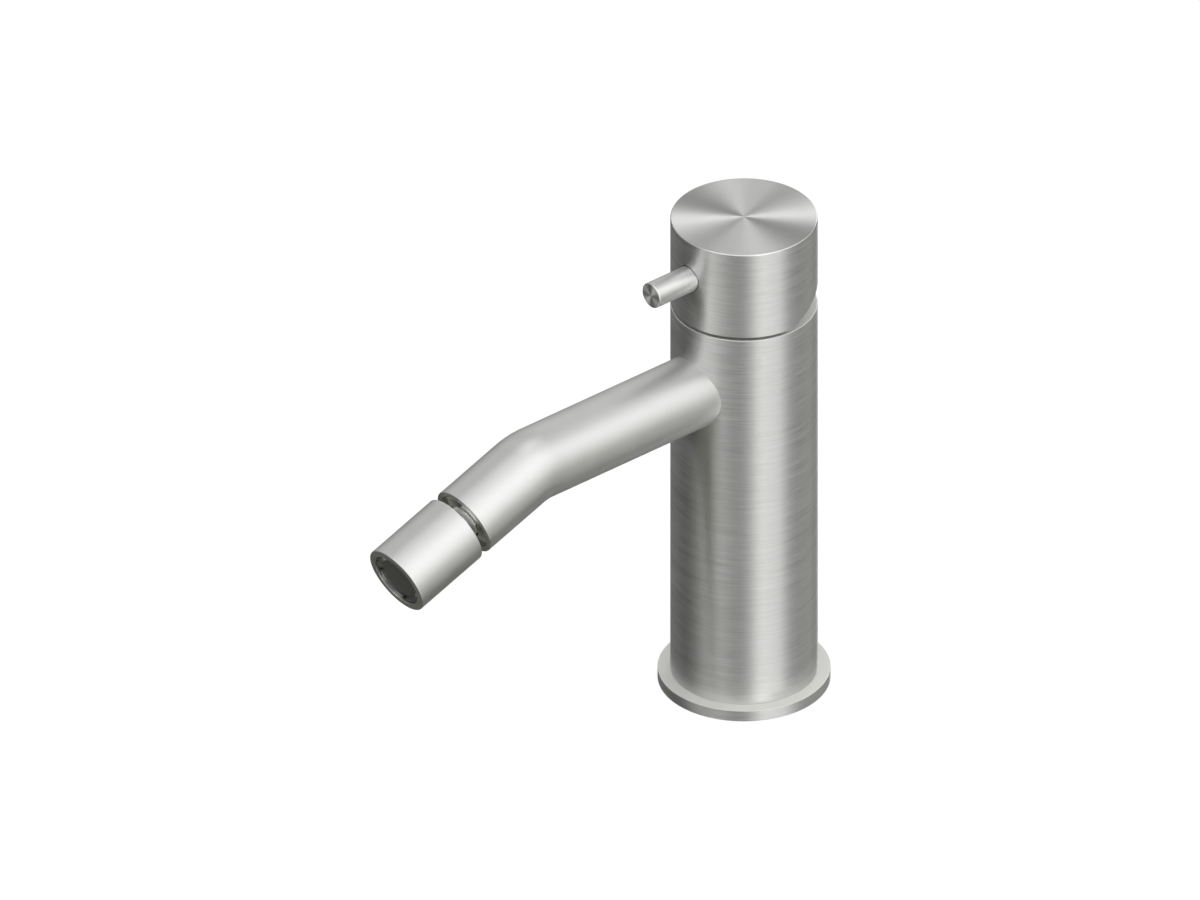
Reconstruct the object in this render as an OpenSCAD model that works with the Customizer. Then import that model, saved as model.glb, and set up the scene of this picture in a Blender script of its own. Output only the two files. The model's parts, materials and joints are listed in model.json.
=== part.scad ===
// Bidet mixer: a round column with a bent spout, a swivelling nozzle and a cap with a pin lever.
// The origin is the centre of the base's underside. +Z is up and the spout points towards -Y.

/* [Base] */
// How far the base flange stands out past the body
flange_overhang = 3.8; // [3:0.1:8]
// Thickness of the base flange
flange_h = 3.6; // [2.8:0.1:6]
// Bevel on the top edge of the base flange
flange_bevel = 0.35; // [0.1:0.05:1]
// Width of the valve block's foot ring, which carries the flange
foot_lip = 1.2; // [0.6:0.1:1.5]
// Height of the valve block's foot ring
foot_h = 1.5; // [1:0.1:2]
// Width of metal left outside the gasket
gasket_inset = 1.6; // [1:0.1:2.2]
// Width of the gasket
gasket_w = 2.4; // [1.5:0.1:3]
// Thickness of the gasket
gasket_h = 1.6; // [1:0.1:2.2]

/* [Body] */
// Height of the body sleeve
body_h = 127.4; // [110:0.2:200]
// Wall of the body sleeve
sleeve_wall = 3; // [2:0.1:3.2]
// Bevel on the rim of the body sleeve
rim_bevel = 0.4; // [0.1:0.05:1]
// Width of the flat rim on top of the body
rim_land = 4; // [3.2:0.1:4.4]
// Thickness of the sleeve's inner lip
lip_h = 2; // [1.2:0.1:3]

/* [Cap] */
// Gap between the body's rim and the cap
cap_gap = 1; // [0.9:0.05:2]
// Height of the cap
cap_h = 29; // [26:0.5:40]
// Bevel on the top edge of the cap
cap_bevel = 0.35; // [0.1:0.05:1]
// Angle at which the cap's underside rises towards the rear, in degrees
cap_cut_angle = 23; // [22.5:0.5:28]
// Wall of the cap around its hollow
cap_wall = 4; // [3:0.1:4.3]
// Height of the hollow under the cap
cap_hollow_h = 10; // [9:0.5:11]
// Length of the spindle inside the cap's solid part
spindle_grip = 12; // [10:0.5:14]

/* [Pin lever] */
// Radius of the pin lever
pin_r = 4; // [3:0.1:5]
// Distance from the body's axis to the end of the pin lever
pin_reach = 36.8; // [32:0.2:60]
// Height of the pin lever's axis above the cap's lower edge
pin_rise = 16.2; // [15:0.1:18]
// Bevel on the end of the pin lever
pin_bevel = 0.3; // [0.1:0.05:0.8]
// Radius of the thread behind the pin lever and of the grub screw
pin_thread_r = 3; // [2:0.1:3]
// Depth to which the pin lever's full width enters the cap
pin_seat = 1.6; // [1:0.1:3]
// Length of the pin lever's thread
pin_thread_h = 8; // [5:0.5:9]
// Length of the grub screw
grub_h = 6; // [4:0.5:7]
// Depth of the flat on the spindle under the grub screw
grub_flat = 0.4; // [0.2:0.1:0.8]
// Margin of that flat past the grub screw
grub_flat_margin = 1; // [0.5:0.1:1.2]

/* [Spout] */
// Outer radius of the spout and of the nozzle
spout_r = 11.2; // [10:0.1:13]
// Wall of the spout tube
spout_wall = 1.6; // [1.2:0.1:2]
// Depth of the spout's axis below the body's rim
spout_drop = 22.9; // [21:0.1:24]
// Distance from the body's axis to the bend
bend_reach = 85.4; // [60:0.2:160]
// Angle by which the spout bends down, in degrees
bend_angle = 20; // [10:1:35]
// Radius of the bend, along the spout's axis
bend_r = 20; // [14:1:40]
// Length of the spout past the bend
spout_end_h = 26.8; // [24:0.2:60]
// Bevel on the spout's end and the nozzle's edges
end_bevel = 0.25; // [0.1:0.05:0.6]

/* [Swivel] */
// Depth of the ball's centre behind the spout's end
ball_depth = 4.7; // [4.5:0.1:5]
// Width of the seat ring left outside the ball's widest circle
ball_land = 0.6; // [0.5:0.05:0.8]
// Radius of the water bore through the ball
ball_bore_r = 2.5; // [1.5:0.1:3]
// Distance from the ball's centre to its flat back
ball_back = 6.1; // [5.8:0.1:6.4]
// Length of the ball retainer
retainer_h = 5.6; // [5.2:0.1:6]
// Wall of the spout's end around the retainer
retainer_wall = 1.6; // [1.2:0.1:2]
// Length of the seat ring behind the ball
seat_ring_h = 4.4; // [3.5:0.1:4.6]
// Wall of the spout's end around the seat ring
seat_ring_wall = 2.8; // [2.4:0.1:3]
// Radius of the water bore behind the ball
socket_bore_r = 5; // [4:0.1:5.4]
// Length of the water bore behind the ball
socket_bore_h = 4; // [2:0.5:8]
// Thickness of the swivel's rubber ring
swivel_seal_d = 1.5; // [1:0.1:1.6]
// Largest tilt of the nozzle to either side, in degrees
nozzle_tilt = 15; // [5:1:15]

/* [Nozzle] */
// Length of the nozzle
nozzle_h = 25; // [22:0.5:35]
// Wall of the nozzle around the aerator
nozzle_wall = 2.3; // [1.6:0.1:2.5]
// Thickness of the nozzle's back wall
nozzle_back_h = 4.5; // [4:0.1:6]
// Radius of the ball stud's thread in the nozzle
stud_thread_r = 4.9; // [4.7:0.1:5.4]
// Radius of the ball stud's collar
stud_collar_r = 5.6; // [5.5:0.1:6]
// Thickness of the ball stud's collar
stud_collar_h = 0.5; // [0.3:0.1:0.6]
// Radius of the nozzle's middle bore
nozzle_bore_r = 6.4; // [5.8:0.1:6.6]
// Thickness of the stud's rubber ring
stud_seal_d = 1.1; // [0.8:0.1:1.3]
// Depth of the aerator housing's end below the nozzle's end
aerator_inset = 0.7; // [0.3:0.1:1.5]
// Length of the aerator housing
aerator_h = 11; // [9:0.5:12]
// Wall of the aerator housing
aerator_wall = 2; // [1.2:0.05:2.4]
// Depth of the aerator core's face below the aerator housing's end
core_inset = 0.5; // [0.3:0.1:2]
// Length of the aerator core
core_h = 6; // [4:0.5:7]
// Inner step of the aerator housing behind its screens
aerator_step = 1; // [0.6:0.1:1.4]
// Number of key notches in the aerator housing
key_notches = 8; // [4:1:12]
// Width of the key notches
key_notch_w = 1.2; // [0.8:0.1:1.6]
// Depth of the key notches
key_notch_h = 0.9; // [0.5:0.1:1.2]
// Number of rings of holes in the aerator core
core_rings = 3; // [2:1:3]
// Radius of the holes in the aerator core
core_hole_r = 0.6; // [0.4:0.05:0.7]
// Thickness of the aerator's washer
washer_h = 1.5; // [1:0.1:2]
// Thickness of one aerator screen
screen_h = 0.4; // [0.2:0.05:0.6]

/* [Cartridge] */
// Outer radius of the cartridge
cartridge_r = 12.5; // [12:0.1:12.7]
// Wall of the cartridge housing
cartridge_wall = 1.7; // [1.2:0.1:1.8]
// Width of the water space round the cartridge
water_gap = 1.5; // [1:0.1:1.7]
// Depth of the chamber below the cartridge's flange
chamber_depth = 18; // [17.6:0.1:20]
// Thickness of the cartridge housing's flange
cartridge_flange_h = 3; // [2:0.1:4]
// Height of the cartridge base's outer ring
base_ring_h = 4.5; // [4.2:0.1:5]
// Thickness of the cartridge housing's top lip
cartridge_lip_h = 1.6; // [1:0.1:1.8]
// Height of the cartridge base's spigot inside the housing
base_spigot_h = 1.5; // [1:0.1:2]
// Thickness of each ceramic disc
disc_h = 3; // [2.4:0.1:3.4]
// Room past the moving disc at the ends of its travel
disc_play = 0.5; // [0.4:0.05:0.8]
// Width of the flats on the disc carrier's sides, inside the moving disc's edge
carrier_flat = 1; // [0.5:0.1:1.5]
// Sealing edge round the mixing hollow under the moving disc
mixing_land = 1.5; // [1:0.1:2]
// Depth of the mixing hollow under the moving disc
mixing_h = 1.5; // [1:0.1:1.8]
// Height of the disc carrier
carrier_h = 5.6; // [5:0.1:6]
// Radius of the hot and the cold passage
passage_r = 2; // [1.5:0.1:2.1]
// Distance of the hot and the cold passage from the middle, sideways
passage_x = 5; // [4.8:0.1:5.3]
// Distance of the hot and the cold passage from the middle, towards the spout
passage_y = 3; // [2.8:0.1:3.2]
// Radius of the outlet passage
outlet_r = 2.3; // [2:0.1:2.4]
// Distance of the outlet passage from the middle, towards the rear
outlet_y = 3.5; // [3.3:0.1:3.8]
// Radius of the outlet port in the valve block
port_r = 6; // [4:0.5:6.5]
// Thickness of the rubber rings under the cartridge
inlet_seal_d = 1.5; // [1.2:0.1:1.6]
// Thickness of the rubber rings under the fixed disc
disc_seal_d = 1; // [0.8:0.1:1.1]
// Metal or plastic left between a passage and the groove round it
seal_land = 0.35; // [0.25:0.05:0.4]
// Radius of the pegs that key the moving disc to its carrier
carrier_peg_r = 1.2; // [1:0.05:1.3]
// Length of those pegs
carrier_peg_h = 1.1; // [0.7:0.1:1.3]
// Distance of those pegs inside the moving disc's edge
carrier_peg_inset = 2.6; // [2.4:0.1:3]
// Radius of the cartridge's locating pegs
peg_r = 1.25; // [1:0.05:1.4]
// Length of the cartridge's locating pegs
peg_h = 1.7; // [1:0.1:2.5]
// Distance of those pegs inside the cartridge's edge
peg_inset = 3; // [2.6:0.1:3.4]

/* [Spindle] */
// Depth of the tilting axis below the body's rim
pivot_drop = 6; // [5.8:0.1:6.2]
// Largest lift of the lever, in degrees
lift_angle = 22; // [15:1:22]
// Radius of the spindle
spindle_r = 3.6; // [3.2:0.1:3.7]
// Radius of the spindle's ball tip
tip_r = 2.4; // [2:0.1:2.5]
// Radius of the spindle's neck above its tip
tip_neck_r = 1.7; // [1.3:0.1:1.9]
// Depth of the tip's centre below the top of the disc carrier
tip_drop = 1.2; // [0.8:0.1:1.6]
// Radius of the pivot pin
pivot_r = 1.25; // [1:0.05:1.5]
// Height of the guide's neck above the cartridge housing
guide_rise = 1.3; // [0.8:0.1:1.6]
// Wall of the guide's neck outside the spindle's slot
guide_wall = 1.9; // [1.4:0.1:2.2]

/* [Cartridge nut] */
// Width of the valve block's seat under the cartridge's flange, which the nut's thread clears
seat_land = 2; // [1.5:0.1:3]
// Metal left between the nut's thread and the groove of the upper rubber ring
groove_wall = 0.8; // [0.6:0.1:2]
// Length of the nut's thread
nut_h = 8; // [6:0.5:9]
// Thickness of the nut's flange
nut_flange_h = 1.5; // [1:0.1:1.8]
// Length of the spanner notches in the nut
nut_notch_l = 2.5; // [1.5:0.1:3]
// Width of the spanner notches in the nut
nut_notch_w = 3; // [2:0.1:4]
// Number of spanner notches in the nut
nut_notches = 6; // [4:1:8]

/* [Water and fixing threads] */
// Radius of the hot and the cold inlet thread's core
inlet_r = 4.5; // [4.4:0.1:5]
// Depth of the inlet threads
inlet_h = 12; // [10:0.5:16]
// Distance of each inlet from the middle, sideways
inlet_x = 7.2; // [6.8:0.1:7.4]
// Distance of each inlet from the middle, towards the spout
inlet_y = 3.6; // [3:0.1:4]
// Radius of the fixing stud thread's core
stud_hole_r = 3.4; // [2.5:0.1:4.2]
// Depth of the fixing stud's thread
stud_hole_h = 20; // [12:0.5:30]
// Distance of the fixing stud's hole from the middle, towards the rear
stud_hole_y = 10.5; // [9:0.1:12]
// Thickness of the rubber rings round the valve block
block_seal_d = 2.2; // [1.6:0.1:2.4]
// Distance of those rings past the spout's bore
block_seal_margin = 2.3; // [2:0.1:3]

/* [Clearances] */
// Gap at threads and pressed seats
thread_gap = 0.05; // [0.02:0.01:0.1]
// Gap of parts that are only pushed together
slide_gap = 0.2; // [0.1:0.05:0.3]
// Gap between parts that move past each other
move_gap = 0.3; // [0.3:0.05:0.4]
// Gap between a rubber ring and its groove
seal_gap = 0.03; // [0.01:0.01:0.1]
// Film between the two ceramic discs
film = 0.05; // [0.02:0.01:0.1]
// Visible gap round the root of the pin lever
pin_gap = 0.25; // [0.15:0.05:0.5]
// Gap in the spout's ground seam
weld_gap = 0.02; // [0.01:0.01:0.05]

/* [Hidden] */
$fn = 96;

// Cuts run this far past the faces that they open
past = 1;

// Radii from the cartridge out to the flange
chamber_r = cartridge_r + water_gap;
cartridge_bore_r = cartridge_r - cartridge_wall;
nut_r = chamber_r + seat_land;
block_groove_r = nut_r + groove_wall;
sleeve_bore_r = block_groove_r + block_seal_d;
body_r = sleeve_bore_r + sleeve_wall;
block_r = sleeve_bore_r - slide_gap;
foot_r = block_r + foot_lip;
flange_r = body_r + flange_overhang;
gasket_r = flange_r - gasket_inset;
recess_r = body_r - rim_land;

// Heights, from the rim down
body_top = flange_h + body_h;
lip_top = body_top - nut_flange_h;
block_top = lip_top - lip_h;
nut_bottom = lip_top - nut_h;
seat_z = nut_bottom - cartridge_flange_h;
chamber_z = seat_z - chamber_depth;
spout_z = body_top - spout_drop;
spout_bore_r = spout_r - spout_wall;
pivot_z = body_top - pivot_drop;

// Cartridge heights, from the chamber's floor up
base_ring_top = chamber_z + base_ring_h;
base_top = base_ring_top + base_spigot_h;
fixed_disc_top = base_top + disc_h;
moving_disc_z = fixed_disc_top + film;
carrier_z = moving_disc_z + disc_h;
carrier_top = carrier_z + carrier_h;
guide_z = carrier_top + 2 * move_gap;
housing_top = body_top - nut_flange_h - slide_gap;
housing_lip_z = housing_top - cartridge_lip_h;
guide_shoulder_z = housing_lip_z - move_gap;
guide_top = housing_top + guide_rise;

// Movement of the tip under the tilting axis
tip_z = carrier_top - tip_drop;
arm = pivot_z - tip_z;
disc_travel = arm * sin(lift_angle);
disc_y = disc_travel / 2;
moving_disc_r = cartridge_bore_r - disc_y - disc_play;
guide_r = cartridge_bore_r - move_gap;
slot_half_w = spindle_r + move_gap;
slot_rear = (spindle_r + (guide_top - pivot_z) * sin(lift_angle)) / cos(lift_angle) + move_gap;
slot_front = spindle_r * cos(lift_angle) + (pivot_z - guide_z) * sin(lift_angle) + move_gap;
guide_neck_r = slot_rear + guide_wall;
cheek_x = moving_disc_r - carrier_flat;

// Seals and grooves
block_seal_zs = [
    spout_z - spout_bore_r - block_seal_margin,
    spout_z + spout_bore_r + block_seal_margin
];
inlet_seal_r = passage_r + seal_land + inlet_seal_d / 2;
disc_seal_r = passage_r + seal_land + disc_seal_d / 2;
outlet_seal_r = outlet_r + seal_land + disc_seal_d / 2;

// Outlet slot through the cartridge base, between the hot and the cold passage
outlet_z = chamber_z + inlet_seal_d + 2 * seal_land;
outlet_slot_w = 2 * (passage_x - passage_r - 2 * seal_land);
outlet_slot_h = base_ring_top - outlet_z - slide_gap;
peg_y = cartridge_r - peg_inset;
carrier_peg_y = moving_disc_r - carrier_peg_inset;

// Cap
cap_z = body_top + cap_gap;
cap_top = cap_z + cap_h;
hollow_top = cap_z + cap_hollow_h;
spindle_top = hollow_top + spindle_grip;
pin_z = cap_z + pin_rise;
pin_seat_y = body_r - pin_seat;
pin_thread_end = pin_seat_y - pin_thread_h;
grub_tip_y = spindle_r - grub_flat;
grub_flat_h = 2 * (pin_thread_r + grub_flat_margin);

// Spout and nozzle, measured along the spout's end from its face.
// The gap lets the nozzle's back edge pass the spout's end at the largest tilt.
nozzle_gap = (ball_depth + move_gap + spout_r * sin(nozzle_tilt)) / cos(nozzle_tilt) - ball_depth;
bend_tangent = bend_r * tan(bend_angle / 2);
retainer_r = spout_r - retainer_wall - thread_gap;
seat_ring_r = spout_r - seat_ring_wall - move_gap;
ball_r = seat_ring_r - ball_land;
seat_r = ball_r + thread_gap;
ball_opening_r = sqrt(seat_r * seat_r - ball_depth * ball_depth);
neck_r = (ball_opening_r - move_gap) * cos(nozzle_tilt) - ball_depth * sin(nozzle_tilt);
seat_ring_back = -retainer_h - slide_gap - seat_ring_h;
seal_seat = seat_ring_back - swivel_seal_d;
socket_back = seal_seat - socket_bore_h;
spout_end_z = bend_tangent + weld_gap - spout_end_h;
nozzle_end = nozzle_gap + nozzle_h;
stud_end = nozzle_gap + nozzle_back_h;
aerator_bore_r = spout_r - nozzle_wall;
aerator_r = aerator_bore_r - thread_gap;
aerator_end = nozzle_end - aerator_inset;
aerator_back = aerator_end - aerator_h;
washer_z = aerator_back - washer_h;
core_r = aerator_r - aerator_wall - thread_gap;
core_end = aerator_end - core_inset;
core_back = core_end - core_h;

// A solid of revolution between two heights, with bevels on its outer edges
module drum(r, z0, z1, top_bevel = 0, bottom_bevel = 0) {
    rotate_extrude()
        polygon([
            [0, z0], [r - bottom_bevel, z0], [r, z0 + bottom_bevel],
            [r, z1 - top_bevel], [r - top_bevel, z1], [0, z1]
        ]);
}

// A bore between two heights
module bore(r, z0, z1) {
    translate([0, 0, z0]) cylinder(r = r, h = z1 - z0);
}

// A flat-sided ring between two heights
module band(outer_r, inner_r, z0, z1) {
    difference() {
        bore(outer_r, z0, z1);
        bore(inner_r, z0 - past, z1 + past);
    }
}

// A rubber ring of round section
module seal(middle_r, section_d) {
    rotate_extrude() translate([middle_r, 0]) circle(d = section_d, $fn = 48);
}

// A rod along -Y, at a height and between two distances from the body's axis
module front_rod(r, z, from, to, bevel = 0) {
    translate([0, 0, z]) rotate([90, 0, 0]) drum(r, from, to, bevel);
}

// The cold side, and its mirror image on the hot side
module each_side() {
    children();
    mirror([1, 0, 0]) children();
}

module place_passage(z) {
    translate([passage_x, -passage_y, z]) children();
}

// Local Z runs out of the spout's end, with its face at 0
module at_spout_end() {
    translate([0, -bend_reach, spout_z])
        rotate([90 + bend_angle, 0, 0])
        translate([0, 0, spout_end_h]) children();
}

// The spout's path from the body's axis to the end of its bend
module spout_path(r) {
    front_rod(r, spout_z, 0, bend_reach - bend_tangent);
    translate([0, -(bend_reach - bend_tangent), spout_z - bend_r])
        rotate([180, -90, 0])
        rotate_extrude(angle = bend_angle) translate([bend_r, 0]) circle(r = r);
}

module base_flange() {
    color("silver") difference() {
        drum(flange_r, 0, flange_h, flange_bevel);
        bore(block_r + thread_gap, -past, flange_h + past);
        bore(foot_r + thread_gap, -past, foot_h);
        band(gasket_r + seal_gap, gasket_r - gasket_w - seal_gap, -past, gasket_h);
    }
}

module base_gasket() {
    color("dimgray") band(gasket_r, gasket_r - gasket_w, 0, gasket_h);
}

module body_sleeve() {
    color("silver") difference() {
        drum(body_r, flange_h, body_top, rim_bevel);
        bore(sleeve_bore_r, flange_h - past, block_top);
        bore(nut_r + slide_gap, flange_h, body_top);
        bore(recess_r, lip_top, body_top + past);
        front_rod(spout_bore_r, spout_z, 0, body_r + past);
    }
}

module valve_block() {
    color("goldenrod") difference() {
        union() {
            bore(block_r, 0, block_top);
            bore(foot_r, 0, foot_h);
        }
        bore(chamber_r, chamber_z, block_top);
        bore(nut_r + thread_gap, seat_z, block_top + past);
        front_rod(port_r, spout_z, 0, block_r + past);
        each_side() {
            place_passage(inlet_h - past) cylinder(r = passage_r, h = chamber_z - inlet_h + 2 * past);
            translate([inlet_x, -inlet_y, -past]) cylinder(r = inlet_r, h = inlet_h + past);
        }
        translate([0, stud_hole_y, -past]) cylinder(r = stud_hole_r, h = stud_hole_h + past);
        pegs(peg_r + slide_gap, chamber_z - peg_h - slide_gap, chamber_z + past);
        for (z = block_seal_zs)
            band(block_r + past, block_groove_r, z - block_seal_d / 2, z + block_seal_d / 2);
    }
}

module block_seals() {
    color("dimgray") for (z = block_seal_zs)
        translate([0, 0, z])
        seal(block_groove_r + block_seal_d / 2, block_seal_d - 2 * seal_gap);
}

module spout_tube() {
    color("silver") difference() {
        spout_path(spout_r);
        spout_path(spout_bore_r);
        bore(body_r, 0, cap_top);
    }
}

// The turned end of the spout, which holds the ball
module spout_end() {
    color("silver") at_spout_end() difference() {
        drum(spout_r, spout_end_z, 0, end_bevel);
        bore(spout_bore_r, spout_end_z - past, socket_back);
        bore(socket_bore_r, socket_back - past, 0);
        bore(seat_ring_r + move_gap, seal_seat, 0);
        bore(retainer_r + thread_gap, -retainer_h, past);
    }
}

module ball_retainer() {
    color("gray") at_spout_end() difference() {
        bore(retainer_r, -retainer_h, 0);
        translate([0, 0, -ball_depth]) sphere(r = seat_r);
        bore(ball_opening_r, -ball_depth, past);
    }
}

module swivel_seal() {
    color("dimgray") at_spout_end()
        translate([0, 0, seal_seat + swivel_seal_d / 2])
        seal(seat_ring_r - swivel_seal_d / 2, swivel_seal_d - 2 * seal_gap);
}

module ball_seat_ring() {
    color("white") at_spout_end() difference() {
        bore(seat_ring_r, seat_ring_back, seat_ring_back + seat_ring_h);
        translate([0, 0, -ball_depth]) sphere(r = seat_r);
        bore(socket_bore_r - move_gap, seat_ring_back - past, 0);
    }
}

module swivel_ball() {
    color("lightgray") at_spout_end() difference() {
        union() {
            translate([0, 0, -ball_depth]) sphere(r = ball_r);
            bore(neck_r, -ball_depth, nozzle_gap);
            bore(stud_collar_r, nozzle_gap - stud_collar_h, nozzle_gap);
            bore(stud_thread_r, nozzle_gap - stud_collar_h, stud_end);
        }
        bore(ball_bore_r, -ball_depth - ball_r, stud_end + past);
        bore(ball_r, -ball_depth - ball_r - past, -ball_depth - ball_back);
    }
}

module nozzle_shell() {
    color("silver") at_spout_end() difference() {
        drum(spout_r, nozzle_gap, nozzle_end, end_bevel, end_bevel);
        bore(stud_thread_r + thread_gap, nozzle_gap - past, stud_end + past);
        bore(stud_thread_r + stud_seal_d, nozzle_gap + past, nozzle_gap + past + stud_seal_d);
        bore(nozzle_bore_r, stud_end, nozzle_end);
        bore(aerator_bore_r, washer_z, nozzle_end + past);
    }
}

module stud_seal() {
    color("dimgray") at_spout_end()
        translate([0, 0, nozzle_gap + past + stud_seal_d / 2])
        seal(stud_thread_r + stud_seal_d / 2, stud_seal_d - 2 * seal_gap);
}

module aerator_washer() {
    color("dimgray") at_spout_end()
        band(aerator_r - slide_gap, nozzle_bore_r - slide_gap, washer_z, aerator_back);
}

module aerator_housing() {
    color("darkgray") at_spout_end() difference() {
        drum(aerator_r, aerator_back, aerator_end, end_bevel);
        bore(core_r + thread_gap, core_back - 3 * screen_h, aerator_end + past);
        bore(core_r - aerator_step, aerator_back - past, aerator_end);
        for (i = [0:key_notches - 1])
            rotate([0, 0, i * 360 / key_notches])
            translate([core_r + aerator_wall / 2, -key_notch_w / 2, aerator_end - key_notch_h])
            cube([aerator_wall, key_notch_w, key_notch_h + past]);
    }
}

module aerator_core() {
    color("dimgray") at_spout_end() difference() {
        bore(core_r, core_back, core_end);
        for (ring = [1:core_rings])
            for (i = [0:6 * ring - 1])
                rotate([0, 0, i * 60 / ring])
                translate([ring * core_r / (core_rings + 0.75), 0, core_back - past])
                cylinder(r = core_hole_r, h = core_h + 2 * past);
    }
}

module aerator_screens() {
    color("gray") at_spout_end() for (step = [1, 2])
        band(core_r - slide_gap, 0.5, core_back - (1.5 * step - 0.25) * screen_h,
             core_back - (1.5 * step - 1.25) * screen_h);
}

// The two locating pegs, in front of and behind the middle
module pegs(r, z0, z1) {
    for (side = [-1, 1]) translate([0, side * peg_y, 0]) bore(r, z0, z1);
}

module cartridge_base() {
    color("ivory") difference() {
        union() {
            bore(cartridge_r, chamber_z, base_ring_top);
            bore(cartridge_bore_r - thread_gap, chamber_z, base_top);
            pegs(peg_r, chamber_z - peg_h, chamber_z + past);
        }
        each_side() {
            place_passage(chamber_z - past) cylinder(r = passage_r, h = base_top - chamber_z + 2 * past);
            place_passage(chamber_z)
                groove(inlet_seal_r, inlet_seal_d, -past, inlet_seal_d);
            place_passage(base_top)
                groove(disc_seal_r, disc_seal_d, -disc_seal_d, past);
        }
        translate([0, outlet_y, 0]) {
            bore(outlet_r, outlet_z, base_top + past);
            translate([0, 0, base_top])
                groove(outlet_seal_r, disc_seal_d, -disc_seal_d, past);
        }
        translate([-outlet_slot_w / 2, -cartridge_r - past, outlet_z])
            cube([outlet_slot_w, 2 * (cartridge_r + past), outlet_slot_h]);
    }
}

// A square-sided groove for a round rubber ring
module groove(middle_r, section_d, z0, z1) {
    band(middle_r + section_d / 2, middle_r - section_d / 2, z0, z1);
}

module inlet_seals() {
    color("dimgray") each_side()
        place_passage(chamber_z + inlet_seal_d / 2)
        seal(inlet_seal_r, inlet_seal_d - 2 * seal_gap);
}

module disc_seals() {
    color("dimgray") {
        each_side()
            place_passage(base_top - disc_seal_d / 2)
            seal(disc_seal_r, disc_seal_d - 2 * seal_gap);
        translate([0, outlet_y, base_top - disc_seal_d / 2])
            seal(outlet_seal_r, disc_seal_d - 2 * seal_gap);
    }
}

module fixed_disc() {
    color("whitesmoke") difference() {
        bore(cartridge_bore_r - slide_gap, base_top, fixed_disc_top);
        each_side()
            place_passage(base_top - past) cylinder(r = passage_r, h = disc_h + 2 * past);
        translate([0, outlet_y, base_top - past]) cylinder(r = outlet_r, h = disc_h + 2 * past);
    }
}

module cartridge_housing() {
    color("ivory") difference() {
        union() {
            bore(cartridge_r, base_ring_top, housing_top);
            bore(nut_r - slide_gap, seat_z, nut_bottom);
        }
        bore(cartridge_bore_r, base_ring_top - past, housing_lip_z);
        bore(guide_neck_r + move_gap, housing_lip_z - past, housing_top + past);
    }
}

module cartridge_seal() {
    color("dimgray") translate([0, 0, seat_z - water_gap / 2])
        seal(cartridge_r + water_gap / 2, water_gap - 2 * seal_gap);
}

module cartridge_nut() {
    color("goldenrod") difference() {
        union() {
            bore(nut_r, nut_bottom, body_top);
            bore(recess_r - slide_gap, lip_top, body_top);
        }
        bore(cartridge_r + slide_gap, nut_bottom - past, body_top + past);
        for (i = [0:nut_notches - 1])
            rotate([0, 0, i * 360 / nut_notches])
            translate([cartridge_r, -nut_notch_w / 2, lip_top])
            cube([nut_notch_l, nut_notch_w, nut_flange_h + past]);
    }
}

module spindle_guide() {
    color("ivory") difference() {
        union() {
            bore(guide_r, guide_z, guide_shoulder_z);
            bore(guide_neck_r, guide_z, guide_top);
            intersection() {
                bore(guide_r, carrier_z + move_gap, guide_z + past);
                each_side()
                    translate([cheek_x + move_gap, -guide_r / 2, 0])
                    cube([guide_r, guide_r, guide_top]);
            }
        }
        translate([-slot_half_w, -slot_front, guide_z - past])
            cube([2 * slot_half_w, slot_front + slot_rear, guide_top - guide_z + 2 * past]);
        translate([-guide_r - past, 0, pivot_z])
            rotate([0, 90, 0]) cylinder(r = pivot_r + thread_gap, h = 2 * (guide_r + past));
    }
}

module pivot_pin() {
    color("silver") translate([-guide_neck_r, 0, pivot_z])
        rotate([0, 90, 0]) cylinder(r = pivot_r, h = 2 * guide_neck_r);
}

module moving_disc() {
    color("whitesmoke") translate([0, disc_y, 0]) difference() {
        bore(moving_disc_r, moving_disc_z, carrier_z);
        intersection() {
            bore(moving_disc_r - mixing_land, moving_disc_z - past, moving_disc_z + mixing_h);
            translate([-moving_disc_r, passage_r - passage_y - disc_y + move_gap, 0])
                cube([2 * moving_disc_r, 2 * moving_disc_r, carrier_z]);
        }
        for (side = [-1, 1])
            translate([0, side * carrier_peg_y, 0])
            bore(carrier_peg_r + thread_gap, carrier_z - carrier_peg_h - slide_gap, carrier_z + past);
    }
}

module disc_carrier() {
    color("ivory") difference() {
        translate([0, disc_y, 0]) {
            intersection() {
                bore(moving_disc_r - slide_gap, carrier_z, carrier_top);
                translate([-cheek_x, -moving_disc_r, carrier_z])
                    cube([2 * cheek_x, 2 * moving_disc_r, carrier_h]);
            }
            for (side = [-1, 1])
                translate([0, side * carrier_peg_y, 0])
                bore(carrier_peg_r, carrier_z - carrier_peg_h, carrier_z + past);
        }
        bore(tip_r + move_gap, tip_z - tip_r - move_gap, carrier_top + past);
    }
}

module spindle() {
    color("silver") difference() {
        union() {
            translate([0, 0, tip_z]) sphere(r = tip_r);
            bore(tip_neck_r, tip_z, pivot_z);
            drum(spindle_r, pivot_z - spindle_r, spindle_top, cap_bevel, spindle_r / 4);
        }
        translate([-spindle_r - past, 0, pivot_z])
            rotate([0, 90, 0]) cylinder(r = pivot_r + thread_gap, h = 2 * (spindle_r + past));
        translate([-spindle_r - past, -grub_tip_y - spindle_r, pin_z - grub_flat_h / 2])
            cube([2 * (spindle_r + past), spindle_r, grub_flat_h]);
    }
}

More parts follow.
